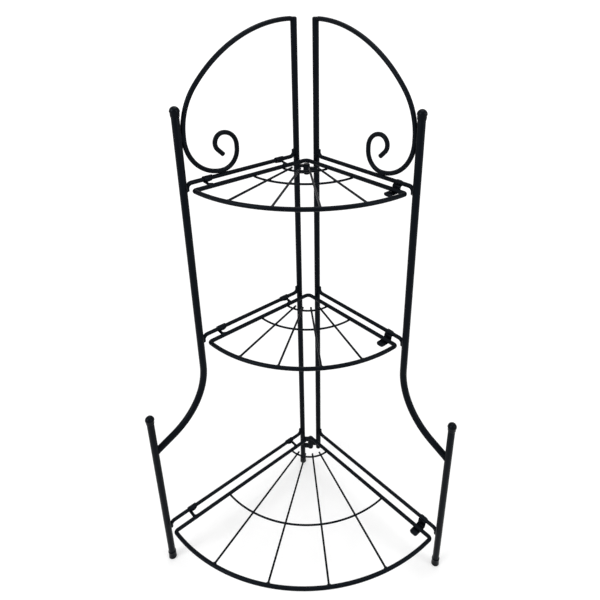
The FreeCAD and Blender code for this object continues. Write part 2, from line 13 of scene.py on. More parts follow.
import bpy
from mathutils import Matrix, Vector


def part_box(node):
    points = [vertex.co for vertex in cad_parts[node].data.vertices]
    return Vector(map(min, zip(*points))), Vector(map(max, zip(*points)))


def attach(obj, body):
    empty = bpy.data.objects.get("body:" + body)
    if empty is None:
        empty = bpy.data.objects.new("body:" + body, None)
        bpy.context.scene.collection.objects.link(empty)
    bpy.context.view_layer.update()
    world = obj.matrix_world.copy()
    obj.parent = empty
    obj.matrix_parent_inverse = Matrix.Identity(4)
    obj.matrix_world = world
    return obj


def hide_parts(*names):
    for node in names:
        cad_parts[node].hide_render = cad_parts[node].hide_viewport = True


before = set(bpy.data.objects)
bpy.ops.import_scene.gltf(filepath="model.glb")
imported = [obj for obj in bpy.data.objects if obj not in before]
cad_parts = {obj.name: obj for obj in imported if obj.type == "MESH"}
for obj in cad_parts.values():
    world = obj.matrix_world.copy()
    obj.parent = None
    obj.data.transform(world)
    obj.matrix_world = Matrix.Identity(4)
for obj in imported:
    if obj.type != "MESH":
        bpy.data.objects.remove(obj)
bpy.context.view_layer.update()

# %% [markdown]
# A finish is a small graph of nodes: one Principled shader, with noise that
# drives its colour, its roughness and its bumps. Image textures would need
# unwrapped meshes and would stretch on thin wire. Noise on Object coordinates
# needs neither, and it stays on the metal when a shelf or a frame turns.

# %% A material with one shader
MM = 0.001


def new_material(name):
    material = bpy.data.materials.new(name)
    material.use_nodes = True
    tree = material.node_tree
    tree.nodes.clear()
    shader = tree.nodes.new("ShaderNodeBsdfPrincipled")
    output = tree.nodes.new("ShaderNodeOutputMaterial")
    tree.links.new(shader.outputs["BSDF"], output.inputs["Surface"])
    return material, tree, shader


print("one shader for each material")

# %% Noise, and the values it drives
NOISE_LOW, NOISE_HIGH = 0.3, 0.7


def noise_on(tree, waves, detail):
    """Noise that sits on the piece, in waves per metre."""
    place = tree.nodes.new("ShaderNodeTexCoord")
    noise = tree.nodes.new("ShaderNodeTexNoise")
    noise.inputs["Scale"].default_value = waves
    noise.inputs["Detail"].default_value = detail
    tree.links.new(place.outputs["Object"], noise.inputs["Vector"])
    return noise.outputs["Fac"]


def spread(tree, source, low, high):
    """Noise keeps near its middle: stretch that part to run from low to high."""
    scale = tree.nodes.new("ShaderNodeMapRange")
    scale.inputs["From Min"].default_value = NOISE_LOW
    scale.inputs["From Max"].default_value = NOISE_HIGH
    scale.inputs["To Min"].default_value = low
    scale.inputs["To Max"].default_value = high
    tree.links.new(source, scale.inputs["Value"])
    return scale.outputs["Result"]


print("noise is used between", NOISE_LOW, "and", NOISE_HIGH)

# %% Colours and bumps from noise
def blend_colours(tree, source, dark, light):
    mix = tree.nodes.new("ShaderNodeMix")
    mix.data_type = "RGBA"
    mix.inputs["A"].default_value = (*dark, 1)
    mix.inputs["B"].default_value = (*light, 1)
    tree.links.new(source, mix.inputs["Factor"])
    return mix.outputs["Result"]


def raise_bumps(tree, source, height, shader):
    bump = tree.nodes.new("ShaderNodeBump")
    bump.inputs["Strength"].default_value = 1.0
    bump.inputs["Distance"].default_value = height
    tree.links.new(source, bump.inputs["Height"])
    tree.links.new(bump.outputs["Normal"], shader.inputs["Normal"])


print("noise can blend two colours and raise bumps")

# %% [markdown]
# All three finishes of the stand are black with a faint blue gloss. They share
# one recipe: a slow noise moves the colour and the roughness together, so that
# a duller spot is also a little paler, as it is on real coated steel. Copying
# the nodes three times would do the same, but one function is easier to tune.

# %% The recipe of the black finishes
COLD_GLOSS = (0.68, 0.84, 1.0, 1)


def black_finish(name, waves, detail, colours, roughness, gloss):
    material, tree, shader = new_material(name)
    cloud = noise_on(tree, waves, detail)
    colour = blend_colours(tree, cloud, *colours)
    tree.links.new(colour, shader.inputs["Base Color"])
    tree.links.new(spread(tree, cloud, *roughness), shader.inputs["Roughness"])
    shader.inputs["Specular IOR Level"].default_value = gloss
    shader.inputs["Specular Tint"].default_value = COLD_GLOSS
    return material, tree, shader, cloud


print("gloss tint:", COLD_GLOSS)

# %% [markdown]
# The finish on the steel is a powder coat. The powder melts into a skin that
# is not quite even, with a fine orange peel. The peel could be modelled as
# displacement, but it is far too small to change the outline of a wire, so a
# second, much finer noise only bends the light as bumps.

# %% Powder coat on the steel
COAT_COLOURS = (0.0010, 0.0014, 0.0024), (0.0028, 0.0036, 0.0056)
PEEL_WAVES = 1100.0
PEEL_HEIGHT = 0.03 * MM

powder_coat, tree, shader, _ = black_finish(
    "powder_coat", waves=60.0, detail=3.0, colours=COAT_COLOURS,
    roughness=(0.27, 0.40), gloss=0.07)
raise_bumps(tree, noise_on(tree, PEEL_WAVES, detail=2.0), PEEL_HEIGHT, shader)
print("made", powder_coat.name)

# %% [markdown]
# Over a weld the same powder covers rough metal. It is the same black, but
# grainier and duller. Here one coarse noise serves for the colour and for the
# bumps, so that the paler grains are also the higher ones.

# %% Powder coat over rough weld metal
WELD_COLOURS = (0.0010, 0.0014, 0.0022), (0.0034, 0.0042, 0.0060)
GRIT_HEIGHT = 0.18 * MM

weld_coat, tree, shader, grit = black_finish(
    "weld_coat", waves=420.0, detail=4.0, colours=WELD_COLOURS,
    roughness=(0.30, 0.46), gloss=0.08)
raise_bumps(tree, grit, GRIT_HEIGHT, shader)
print("made", weld_coat.name)

# %% [markdown]
# The caps on the posts and the feet are moulded plastic: smoother and a little
# glossier than the coat. They have a faint haze from handling and hardly any
# bumps.

# %% Moulded plastic of the caps
PLASTIC_COLOURS = (0.0008, 0.0011, 0.0018), (0.0020, 0.0025, 0.0036)
GRAIN_WAVES = 700.0
GRAIN_HEIGHT = 0.02 * MM

cap_plastic, tree, shader, _ = black_finish(
    "cap_plastic", waves=150.0, detail=3.0, colours=PLASTIC_COLOURS,
    roughness=(0.18, 0.28), gloss=0.075)
raise_bumps(tree, noise_on(tree, GRAIN_WAVES, detail=1.0), GRAIN_HEIGHT, shader)
print("made", cap_plastic.name)

# %% [markdown]
# Each measured piece gets its finish by filling its material slots. The caps
# are plastic, all the rest is coated steel.

# %% Coat the measured pieces
def coat(piece, material):
    piece.data.materials.clear()
    piece.data.materials.append(material)


for name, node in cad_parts.items():
    plastic = name.endswith("finial") or name.endswith("foot_cap")
    coat(node, cap_plastic if plastic else powder_coat)
print("coated", len(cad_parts), "pieces")

# %% [markdown]
# New pieces are shaped in edit mode. These helpers start a clean selection,
# break the sharp edges that no real piece has, and hand the finished mesh over
# to the body that it moves with.

# %% Clean starts and soft edges
SMOOTH_BELOW = math.radians(40)


def start_clean():
    if bpy.context.object and bpy.context.object.mode != "OBJECT":
        bpy.ops.object.mode_set(mode="OBJECT")
    bpy.ops.object.select_all(action="DESELECT")


def apply_modifiers(piece):
    for modifier in list(piece.modifiers):
        bpy.ops.object.modifier_apply(modifier=modifier.name)


def soften_edges(piece, width, segments=3, angle=35):
    """Bevel the edges sharper than an angle in degrees, then shade smooth."""
    bevel = piece.modifiers.new("soft edges", "BEVEL")
    bevel.width = width
    bevel.segments = segments
    bevel.limit_method = "ANGLE"
    bevel.angle_limit = math.radians(angle)
    apply_modifiers(piece)
    bpy.ops.object.shade_smooth_by_angle(angle=SMOOTH_BELOW)


print("edges flatter than", round(math.degrees(SMOOTH_BELOW)), "degrees shade smooth")

# %% Handing a piece over
def hand_over(piece, name, body, slot, material, *stands_for):
    """Name a finished piece and let it ride on its body."""
    piece.name = name
    piece.data.name = name
    coat(piece, material)
    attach(piece, body)
    if stands_for:
        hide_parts(*stands_for)


def settle(piece, matrix):
    """A copy of piece with its own mesh, its place kept in the mesh."""
    copy = piece.copy()
    copy.data = piece.data.copy()
    bpy.context.collection.objects.link(copy)
    copy.data.transform(matrix)
    return copy


print("a piece can be handed over or copied into place")

# %% [markdown]
# Caps and post ends are round. They could be turned as one profile, but built
# ring by ring from a disc each step stays easy to see: extrude the ring
# upwards, then widen or narrow it.

# %% Building up from a disc
ROUND = 48


def start_disc(radius, height):
    """A flat disc in edit mode, all of it selected."""
    start_clean()
    bpy.ops.mesh.primitive_circle_add(
        vertices=ROUND, radius=radius, location=(0, 0, height), fill_type="NGON")
    bpy.ops.object.mode_set(mode="EDIT")
    bpy.ops.mesh.select_all(action="SELECT")


def ring_up(rise, grow):
    """Extrude the selected ring upwards and widen or narrow it."""
    bpy.ops.mesh.extrude_region_move(TRANSFORM_OT_translate={"value": (0, 0, rise)})
    bpy.ops.transform.resize(value=(grow, grow, 1))


def finish_mesh():
    """Turn all faces outward and leave edit mode."""
    bpy.ops.mesh.select_all(action="SELECT")
    bpy.ops.mesh.normals_make_consistent(inside=False)
    bpy.ops.object.mode_set(mode="OBJECT")
    return bpy.context.object


print("rings have", ROUND, "points")

# %% [markdown]
# Where things are: each side frame is flat and leaves the back corner at 45
# degrees. A place on it is given by its reach outward from the inner post and
# its height. Both are read off the measured posts and rails, so that nothing
# here has to be typed in twice.

# %% Places on the side frames
def middle_of(name):
    low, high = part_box(name)
    return (Vector(low) + Vector(high)) / 2


def top_of(name):
    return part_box(name)[1][2]


POSTS = {side: middle_of(side + "_inner_post") for side in ("left", "right")}
OUTWARD = {"left": Vector((-1, -1, 0)).normalized(), "right": Vector((1, -1, 0)).normalized()}
CORNER = Vector((0, POSTS["left"].y - POSTS["left"].x, 0))
UP = Vector((0, 0, 1))


def on_frame(side, reach, height):
    """A point in the plane of a side frame, in metres."""
    base = POSTS[side] + OUTWARD[side] * reach
    return Vector((base.x, base.y, height))


print("inner posts at", {side: tuple(round(value, 4) for value in POSTS[side]) for side in POSTS})

# %% Reach of the posts and height of the rails
TIERS = ("top", "middle", "bottom")


def reach_of(name, side):
    """How far outward the middle of an upright piece stands."""
    return (middle_of(name) - POSTS[side]).to_2d().length


outer_reach = reach_of("left_upper_finial", "left")
lower_reach = reach_of("left_lower_post", "left")
rail_heights = {tier: middle_of("left_%s_rail" % tier).z for tier in TIERS}
print("outer post at", round(outer_reach, 4), "lower post at", round(lower_reach, 4))
print("rails at", {tier: round(height, 4) for tier, height in rail_heights.items()})

# %% [markdown]
# The finial on each post is a push-on cap: a short skirt that tapers in below,
# a rounded shoulder and a ball-like dome. A ball stuck on a cylinder would
# show a crease between the two. Here the skirt goes straight up, the shoulder
# steps out and the dome's rings follow a quarter circle, all in one mesh.

# %% Finial, ring by ring
SKIRT_RADIUS = 5.2 * MM
SKIRT_DEPTH = 5 * MM
SKIRT_TAPER = 0.95
TAPER_ENDS, SHOULDER_STARTS = 0.5, 0.92
SHOULDER_STEP = 0.8 * MM
DOME_RADIUS = 5.74 * MM
DOME_RINGS = 10


def close_with_dome(radius):
    """Round off the selected ring with the rings of a half ball."""
    now, height = radius, 0.0
    for ring in range(1, DOME_RINGS):
        angle = math.radians(90 * ring / DOME_RINGS)
        ring_up(radius * math.sin(angle) - height, radius * math.cos(angle) / now)
        now, height = radius * math.cos(angle), radius * math.sin(angle)
    bpy.ops.mesh.extrude_region_move(TRANSFORM_OT_translate={"value": (0, 0, radius - height)})
    bpy.ops.mesh.merge(type="CENTER")


def model_finial():
    """A skirt, a shoulder and a dome, with the skirt's top at height zero."""
    start_disc(SKIRT_RADIUS * SKIRT_TAPER, -SKIRT_DEPTH)
    ring_up(SKIRT_DEPTH * TAPER_ENDS, 1 / SKIRT_TAPER)
    ring_up(SKIRT_DEPTH * (SHOULDER_STARTS - TAPER_ENDS), 1.0)
    shoulder = SKIRT_DEPTH * (1 - SHOULDER_STARTS) + SHOULDER_STEP
    ring_up(shoulder, DOME_RADIUS / SKIRT_RADIUS)
    close_with_dome(DOME_RADIUS)
    finial = finish_mesh()
    soften_edges(finial, width=0.3 * MM)
    return finial


finial = model_finial()
print("finial", round(finial.dimensions.z / MM, 2), "mm high")

# %% Finials on the posts
CAP_HEIGHT = 6.55 * MM

for side in ("left", "right"):
    for level, reach in (("upper", outer_reach), ("lower", lower_reach)):
        node = "%s_%s_finial" % (side, level)
        place = on_frame(side, reach, top_of(node) - CAP_HEIGHT)
        piece = settle(finial, Matrix.Translation(place))
        hand_over(piece, node + "_cap", side + "_frame", "black_cap_plastic", cap_plastic, node)
bpy.data.objects.remove(finial)
print("finials placed on 4 posts")

# %% [markdown]
# The three feet are cups of the same plastic, pushed over the tube ends. They
# are flat underneath, flare a little towards the floor and end above in a thin
# rolled lip round the tube. The same rings build them, with the lip as three
# small steps: out, up and in again.

# %% Foot caps
FOOT_HEIGHT = 12 * MM
FOOT_CHAMFER = 0.8 * MM
FOOT_TAPER = 0.965
TAPER_SHARE = 0.25
FOOT_WALL = 0.6 * MM
ROLLED_LIP = (0.4 * MM, 1.05), (0.8 * MM, 1.0), (0.4 * MM, 0.95)
LOWER_FOOT, LOWER_POST = 5.49 * MM, 4.5 * MM
INNER_FOOT, INNER_POST = 5 * MM, 4 * MM


def model_foot(wide, post):
    """A cup with an outer radius at the floor, for a post of a given radius."""
    start_disc(wide - FOOT_CHAMFER, 0)
    ring_up(FOOT_CHAMFER, wide / (wide - FOOT_CHAMFER))
    ring_up(FOOT_HEIGHT * TAPER_SHARE, FOOT_TAPER)
    lip_height = sum(rise for rise, _ in ROLLED_LIP)
    wall_height = FOOT_HEIGHT * (1 - TAPER_SHARE) - FOOT_CHAMFER - lip_height
    ring_up(wall_height, (post + FOOT_WALL) / (wide * FOOT_TAPER))
    for rise, grow in ROLLED_LIP:
        ring_up(rise, grow)
    foot = finish_mesh()
    soften_edges(foot, width=0.25 * MM, angle=25)
    return foot


print("foot", FOOT_HEIGHT / MM, "mm high")

# %% Feet on the posts
def place_foot(foot, side, reach, name, node):
    foot.data.transform(Matrix.Translation(on_frame(side, reach, 0)))
    hand_over(foot, name, side + "_frame", "black_cap_plastic", cap_plastic, node)


for side in ("left", "right"):
    foot = model_foot(LOWER_FOOT, LOWER_POST)
    place_foot(foot, side, lower_reach, side + "_foot", side + "_foot_cap")
place_foot(model_foot(INNER_FOOT, INNER_POST), "left", 0, "inner_foot", "inner_foot_cap")
print("feet placed on 3 posts")

# %% [markdown]
# Each inner post is a tube that ends level with the arch, and the thinner arch
# wire leaves through its side. The last stretch of tube hides the wire's bend
# and closes with a small round shoulder. A bevel could round a plain disc too,
# but rings on a quarter circle give the same shoulder on every post.

# %% Ends of the inner posts
END_RADIUS = 4.02 * MM
END_RISE = 9.0 * MM
END_PLUG = 1 * MM
END_SHOULDER = 2.0 * MM
SHOULDER_ANGLES = (18, 36, 54, 72, 90)


def model_post_end():
    start_disc(END_RADIUS, -END_PLUG)
    ring_up(END_PLUG + END_RISE - END_SHOULDER, 1.0)
    radius, height = END_RADIUS, 0.0
    for angle in SHOULDER_ANGLES:
        turn = math.radians(angle)
        wide = END_RADIUS - END_SHOULDER * (1 - math.cos(turn))
        high = END_SHOULDER * math.sin(turn)
        ring_up(high - height, wide / radius)
        radius, height = wide, high
    end = finish_mesh()
    bpy.ops.object.shade_smooth_by_angle(angle=math.radians(50))
    return end


for side in ("left", "right"):
    end = model_post_end()
    place = on_frame(side, 0, top_of(side + "_inner_post"))
    end.data.transform(Matrix.Translation(place))
    hand_over(end, side + "_post_end", side + "_frame", "black_powder_coat", powder_coat)
    print(end.name, "rises to", round(place.z + END_RISE, 4))

# %% [markdown]
# Posts, rails and rims are bent from straight tube and rod. A curve with a
# round bevel could make them as well. Here a ring of points is run along the
# straight stretches and spun round the bends instead, just as the workshop
# feeds the tube and turns it round a die.

# %% Bending a tube from a ring
TUBE_ROUND = 32
SAME_POINT = 0.00001


def start_ring(middle, direction, radius):
    """A ring of points across a tube's path, facing along it."""
    start_clean()
    bpy.ops.mesh.primitive_circle_add(
        vertices=TUBE_ROUND, radius=radius, location=(0, 0, 0), fill_type="NOTHING")
    tube = bpy.context.object
    turn = UP.rotation_difference(direction).to_matrix().to_4x4()
    tube.data.transform(Matrix.Translation(middle) @ turn)
    bpy.ops.object.mode_set(mode="EDIT")
    bpy.ops.mesh.select_all(action="SELECT")
    return tube


def run(direction, length):
    step = tuple(direction * length)
    bpy.ops.mesh.extrude_region_move(TRANSFORM_OT_translate={"value": step})


def bend(centre, axis, angle, steps=0):
    """Spin the newest row round an axis, by an angle in degrees."""
    steps = steps or max(4, int(abs(angle) / 10))
    bpy.ops.mesh.spin(
        steps=steps, angle=-math.radians(angle), center=tuple(centre), axis=tuple(axis))


print("tubes have", TUBE_ROUND, "points round")

# %% Closing a tube
def finish_tube(tube):
    bpy.ops.mesh.select_all(action="SELECT")
    bpy.ops.mesh.remove_doubles(threshold=SAME_POINT)
    bpy.ops.mesh.fill_holes(sides=0)
    finish_mesh()
    soften_edges(tube, width=0.4 * MM, segments=2, angle=60)
    return tube


print("tube ends are filled and softened")

# %% [markdown]
# Each outer post comes straight down from its finial, sweeps outward above the
# bottom shelf and runs straight into the side of the lower post. One wide bend
# with a straight stretch on either side gives that line.

# %% Line of the outer post
FLARE_START = 293 * MM
FLARE_RADIUS = 90 * MM
FLARE_TURN = 66

flare_turn = math.radians(FLARE_TURN)
flare_reach = outer_reach + FLARE_RADIUS * (1 - math.cos(flare_turn))
flare_run = (lower_reach - flare_reach) / math.sin(flare_turn)
print("straight stretch after the sweep:", round(flare_run, 4))

# %% Outer posts
def model_outer_post(side):
    out = OUTWARD[side]
    top = top_of(side + "_outer_post")
    tube = start_ring(on_frame(side, outer_reach, top), -UP, LOWER_POST)
    run(-UP, top - FLARE_START)
    centre = on_frame(side, outer_reach + FLARE_RADIUS, FLARE_START)
    bend(centre, (-UP).cross(out), FLARE_TURN, steps=24)
    run(out * math.sin(flare_turn) - UP * math.cos(flare_turn), flare_run)
    return finish_tube(tube)


for side in ("left", "right"):
    node = side + "_outer_post"
    tube = model_outer_post(side)
    hand_over(tube, node + "_tube", side + "_frame", "black_powder_coat", powder_coat, node)
    print(node, "swept into the lower post")

# %% [markdown]
# A rail is a rod between the two posts of a side frame. Its ends are turned
# along the posts, up at the inner one and down at the outer one, which gives
# the weld some length to hold. Butting a straight rod against the posts would
# be simpler, but these turned ends are what the eye expects of bent wire.

# %% Rails
RAIL_RADIUS = 2.6 * MM
RAIL_BEND = 6 * MM
RAIL_STUB = 3 * MM
INNER_GAP = 4.6 * MM
OUTER_GAP = 4.8 * MM


def model_rail(side, near, far, height):
    """Up along the inner post at one end, down along the outer one at the other."""
    out = OUTWARD[side]
    start = on_frame(side, near, height + RAIL_BEND + RAIL_STUB)
    tube = start_ring(start, -UP, RAIL_RADIUS)
    run(-UP, RAIL_STUB)
    centre = on_frame(side, near + RAIL_BEND, height + RAIL_BEND)
    bend(centre, (-UP).cross(out), 90, steps=10)
    run(out, far - near - 2 * RAIL_BEND)
    centre = on_frame(side, far - RAIL_BEND, height - RAIL_BEND)
    bend(centre, out.cross(-UP), 90, steps=10)
    run(-UP, RAIL_STUB)
    return finish_tube(tube)


for side in ("left", "right"):
    for tier, height in rail_heights.items():
        post = lower_reach if tier == "bottom" else outer_reach
        node = "%s_%s_rail" % (side, tier)
        rod = model_rail(side, INNER_GAP, post - OUTER_GAP, height)
        hand_over(rod, node + "_rod", side + "_frame", "black_powder_coat", powder_coat, node)
print("rails bent for", len(rail_heights), "tiers on both sides")

# %% [markdown]
# The rim of a shelf is one rod, bent into a closed loop: round the nose at the
# back, along the left side, round a tight corner, along the quarter circle in
# front and back along the right side. The corner bend touches the straight
# side and the front arc, so its middle is found from both.

# %% Line of a shelf's rim
RIM_RADIUS = 2.7 * MM
DROP = 7 * MM
INSETS = {"top": 8 * MM, "middle": 8 * MM, "bottom": 12 * MM}
FANS = {"top": 166.98 * MM, "middle": 166.98 * MM, "bottom": 246.94 * MM}
NOSE_BEND = 6 * MM
CORNER_BEND = 3.4 * MM


def shelf_hub(tier):
    """Where the middle lines of the two side rods would cross."""
    inset = (OUTWARD["left"] + OUTWARD["right"]) * INSETS[tier]
    return Vector((CORNER.x, CORNER.y, rail_heights[tier] - DROP)) + inset


print("shelves lie", round(DROP / MM), "mm under their rails")

# %% Shelf rims
def model_rim(tier):
    one, two, hub, fan = OUTWARD["left"], OUTWARD["right"], shelf_hub(tier), FANS[tier]
    side = math.sqrt((fan - CORNER_BEND) ** 2 - CORNER_BEND ** 2)
    lead = math.degrees(math.atan2(CORNER_BEND, side))
    tube = start_ring(hub + one * NOSE_BEND, one, RIM_RADIUS)
    run(one, side - NOSE_BEND)
    bend(hub + one * side + two * CORNER_BEND, UP, 90 + lead, steps=10)
    bend(hub, UP, 90 - 2 * lead, steps=48)
    bend(hub + two * side + one * CORNER_BEND, UP, 90 + lead, steps=10)
    run(-two, side - NOSE_BEND)
    bend(hub + (one + two) * NOSE_BEND, UP, 90, steps=10)
    return finish_tube(tube)


for tier in TIERS:
    node = tier + "_shelf_rim"
    rod = model_rim(tier)
    reach = min(vertex.co.y for vertex in rod.data.vertices)
    hand_over(rod, node + "_rod", tier + "_shelf", "black_powder_coat", powder_coat, node)

# %% [markdown]
# The clips and rest strips are cut from flat strip, rolled round a rail and
# bent over. They are made the way a bender works: one straight edge as wide as
# the strip is extruded along the straight runs and spun round the bends, then
# the sheet is given its thickness and its sharp edges are broken.

# %% A strip starts as one edge
STRIP_WIDTH = 12 * MM


def start_edge(middle, along):
    """One edge, as wide as the strip, at the strip's free end."""
    start_clean()
    bpy.ops.mesh.primitive_plane_add(size=STRIP_WIDTH, location=(0, 0, 0))
    strip = bpy.context.object
    bpy.ops.object.mode_set(mode="EDIT")
    bpy.ops.mesh.select_all(action="DESELECT")
    bpy.ops.object.mode_set(mode="OBJECT")
    for vertex in strip.data.vertices:
        vertex.select = vertex.co.y > 0
    bpy.ops.object.mode_set(mode="EDIT")
    bpy.ops.mesh.delete(type="VERT")
    bpy.ops.object.mode_set(mode="OBJECT")
    turn = Vector((1, 0, 0)).rotation_difference(along).to_matrix().to_4x4()
    centred = Matrix.Translation((0, STRIP_WIDTH / 2, 0))
    strip.data.transform(Matrix.Translation(middle) @ turn @ centred)
    bpy.ops.object.mode_set(mode="EDIT")
    bpy.ops.mesh.select_all(action="SELECT")
    return strip


print("strips are", round(STRIP_WIDTH / MM), "mm wide")

# %% [markdown]
# The free ends of the strips are rounded in their width. A cutter could trim
# the corners of the finished sheet. Here the width follows a quarter circle
# while the strip is being bent, which needs no cut and leaves even faces.

# %% Rounding the end of a strip
TIP_RADIUS = 4 * MM


def tip_share(distance):
    """Share of the strip's width at a distance from its rounded end."""
    if distance >= TIP_RADIUS:
        return 1.0
    half = STRIP_WIDTH / 2
    return (half - TIP_RADIUS + math.sqrt(TIP_RADIUS ** 2 - (TIP_RADIUS - distance) ** 2)) / half


def widen(now, share):
    """Bring the newest row of the strip from one share of its width to another."""
    bpy.ops.transform.resize(value=(share / now,) * 3)
    return share


print("width at the very end:", round(tip_share(0), 3))

# %% Bends that begin or end at a tip
def bend_from_tip(centre, axis, angle, radius, start, steps=8):
    """Bend while the strip widens from its end, which lies start behind."""
    now = tip_share(start)
    for step in range(1, steps + 1):
        bend(centre, axis, angle / steps, steps=1)
        now = widen(now, tip_share(start + radius * math.radians(abs(angle)) * step / steps))


def bend_to_tip(centre, axis, angle, radius, share=1.0, steps=10):
    """Bend while the strip, so wide as share says, rounds off towards its end."""
    now = share
    for step in range(1, steps + 1):
        bend(centre, axis, angle / steps, steps=1)
        left = radius * math.radians(abs(angle)) * (1 - step / steps)
        now = widen(now, share * tip_share(left))


print("tips of", TIP_RADIUS / MM, "mm radius")

# %% Thickness and soft edges of a strip
STRIP_THICKNESS = 1.0 * MM


def finish_strip(strip):
    bpy.ops.mesh.select_all(action="SELECT")
    bpy.ops.mesh.remove_doubles(threshold=SAME_POINT)
    finish_mesh()
    wall = strip.modifiers.new("wall", "SOLIDIFY")
    wall.thickness = STRIP_THICKNESS
    wall.offset = 0
    wall.use_even_offset = True
    apply_modifiers(strip)
    soften_edges(strip, width=0.3 * MM, segments=2, angle=50)
    return strip


print("strips are", STRIP_THICKNESS / MM, "mm thick")

# %% [markdown]
# Two clips hold each shelf to its left rail and are what it turns on. A clip
# begins with a tab that stands off the rail, rolls round the rail, narrows to
# a neck and ends in a rounded foot over the shelf's side rod. The roll is
# centred on the rail, so that the clip turns round it without touching.

# %% The lip of a clip
LIP = 0.6 * MM
TAB = 1.3 * MM


def start_lip(middle, along, outward):
    """The strip's rounded end: a tab that stands off, then a short straight lip."""
    strip = start_edge(middle + (outward - UP) * TAB, along)
    now = widen(1.0, tip_share(0))
    run(UP - outward, TAB)
    tab_length = TAB * math.sqrt(2)
    now = widen(now, tip_share(tab_length))
    run(UP, LIP)
    start = tab_length + LIP
    widen(now, tip_share(start))
    return strip, start


print("a clip's lip stands off by", TAB / MM, "mm")

# %% Bending one clip
ROLL = 3.2 * MM
ROLL_START, ROLL_REST = 70, 200
NECK_SHARE = 0.34
NECK_END = 2 * MM
FOOT_SHARE = 0.62
FOOT_BEND, FOOT_TIP = 24, 66


def slide(along, distance):
    bpy.ops.transform.translate(value=tuple(along * distance))


def bend_clip(name, tier, neck_side):
    """A clip: lip, roll round the rail, narrow neck, foot over the side rod."""
    along, across, inset = OUTWARD["left"], OUTWARD["right"], INSETS[tier]
    place = (middle_of(name) - CORNER).dot(along)
    axis_point = Vector((CORNER.x, CORNER.y, rail_heights[tier])) + along * place
    strip, start = start_lip(axis_point + across * ROLL - UP * LIP, along, across)
    bend_from_tip(axis_point, along, ROLL_START, ROLL, start)
    bend(axis_point, along, ROLL_REST)
    shift = neck_side * STRIP_WIDTH / 2
    run(across, NECK_END)
    now = widen(1.0, NECK_SHARE)
    slide(along, shift * (1 - NECK_SHARE))
    run(across * (inset - 2 * NECK_END) - UP * (DROP - 2 * ROLL), 1)
    run(across, NECK_END)
    now = widen(now, FOOT_SHARE)
    slide(along, -shift * (FOOT_SHARE - NECK_SHARE))
    rod = axis_point + across * inset - UP * DROP
    bend(rod, along, -FOOT_BEND)
    bend_to_tip(rod, along, -FOOT_TIP, ROLL, now)
    return finish_strip(strip)


print("clips roll round the rail by", ROLL_START + ROLL_REST, "degrees")

# %% Shelf clips on the left rails
def compare_lowest(node, strip, height):
    low = min(vertex.co.z for vertex in strip.data.vertices)
    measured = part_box(node)[0][2]
    print(node, "lowest", round(low - height, 4), "measured", round(measured - height, 4))


for tier in TIERS:
    for end, neck_side in (("front", 1), ("rear", -1)):
        node = "%s_shelf_%s_clip" % (tier, end)
        strip = bend_clip(node, tier, neck_side)
        compare_lowest(node, strip, rail_heights[tier])
        hand_over(strip, node + "_strip", tier + "_shelf", "black_powder_coat", powder_coat, node)

# %% [markdown]
# The rest strips on the right frame are the same strip, hooked round the outer
# side of the rail and welded there. From below the rail they drop in a short S
# under the side rod of the shelf and end in a rounded nose that curls down.

# %% Line of a rest strip
TIGHT = 3.1 * MM
DEPTH = 10.0 * MM + STRIP_THICKNESS / 2
HOOK_START = 135
HOOK_TIP = 70
SMALL = 1.9 * MM
SLOPE = 80
OVERHANG = 4.6 * MM
NOSE = 2.4 * MM

crest_turn, steep = math.radians(HOOK_START), math.radians(SLOPE)
fall = DEPTH - TIGHT - 2 * SMALL * (1 - math.cos(steep))
slope = fall / math.sin(steep)
print("straight part of the S:", round(slope / MM, 2), "mm")

# %% Bending one rest strip
def bend_rest(name, tier):
    """A rest: hook round the rail, S down to the side rod, nose beyond it."""
    along, across = -OUTWARD["right"], OUTWARD["left"]
    place = (middle_of(name) - CORNER).dot(along)
    point = Vector((CORNER.x, CORNER.y, rail_heights[tier])) + along * place
    crest = across * TIGHT * math.cos(crest_turn) + UP * TIGHT * math.sin(crest_turn)
    strip = start_edge(point + crest, along)
    widen(1.0, tip_share(0))
    bend_from_tip(point, along, HOOK_TIP, TIGHT, 0)
    bend(point, along, 270 - HOOK_START - HOOK_TIP)
    under = point - UP * (TIGHT + SMALL)
    bend(under, along, -SLOPE)
    turned = across * math.sin(steep) + UP * math.cos(steep)
    down = across * math.cos(steep) - UP * math.sin(steep)
    run(down, slope)
    bend(under + turned * 2 * SMALL + down * slope, along, SLOPE)
    reached = 2 * SMALL * math.sin(steep) + slope * math.cos(steep)
    length = INSETS[tier] + RIM_RADIUS + OVERHANG - reached
    run(across, length)
    nose = point - UP * (DEPTH + NOSE) + across * (reached + length)
    bend_to_tip(nose, along, -90, NOSE)
    return finish_strip(strip)


print("a rest reaches", round((RIM_RADIUS + OVERHANG) / MM, 2), "mm past the side rod")

# %% Rest strips on the right rails
for tier in TIERS:
    node = "right_%s_rest" % tier
    strip = bend_rest(node, tier)
    compare_lowest(node, strip, rail_heights[tier])
    hand_over(strip, node + "_strip", "right_frame", "black_powder_coat", powder_coat, node)

# %% [markdown]
# Where two wires touch they are welded, and the coat runs over the weld as a
# small uneven bead. Sculpting each one would take long for something so small.
# One bead is a stretched ball whose rings are pinched in turn, like the ripples
# a welder leaves, and it is copied to every joint.

# %% One weld bead
PINCH = 0.88
RIPPLE_SHIFT = 0.04


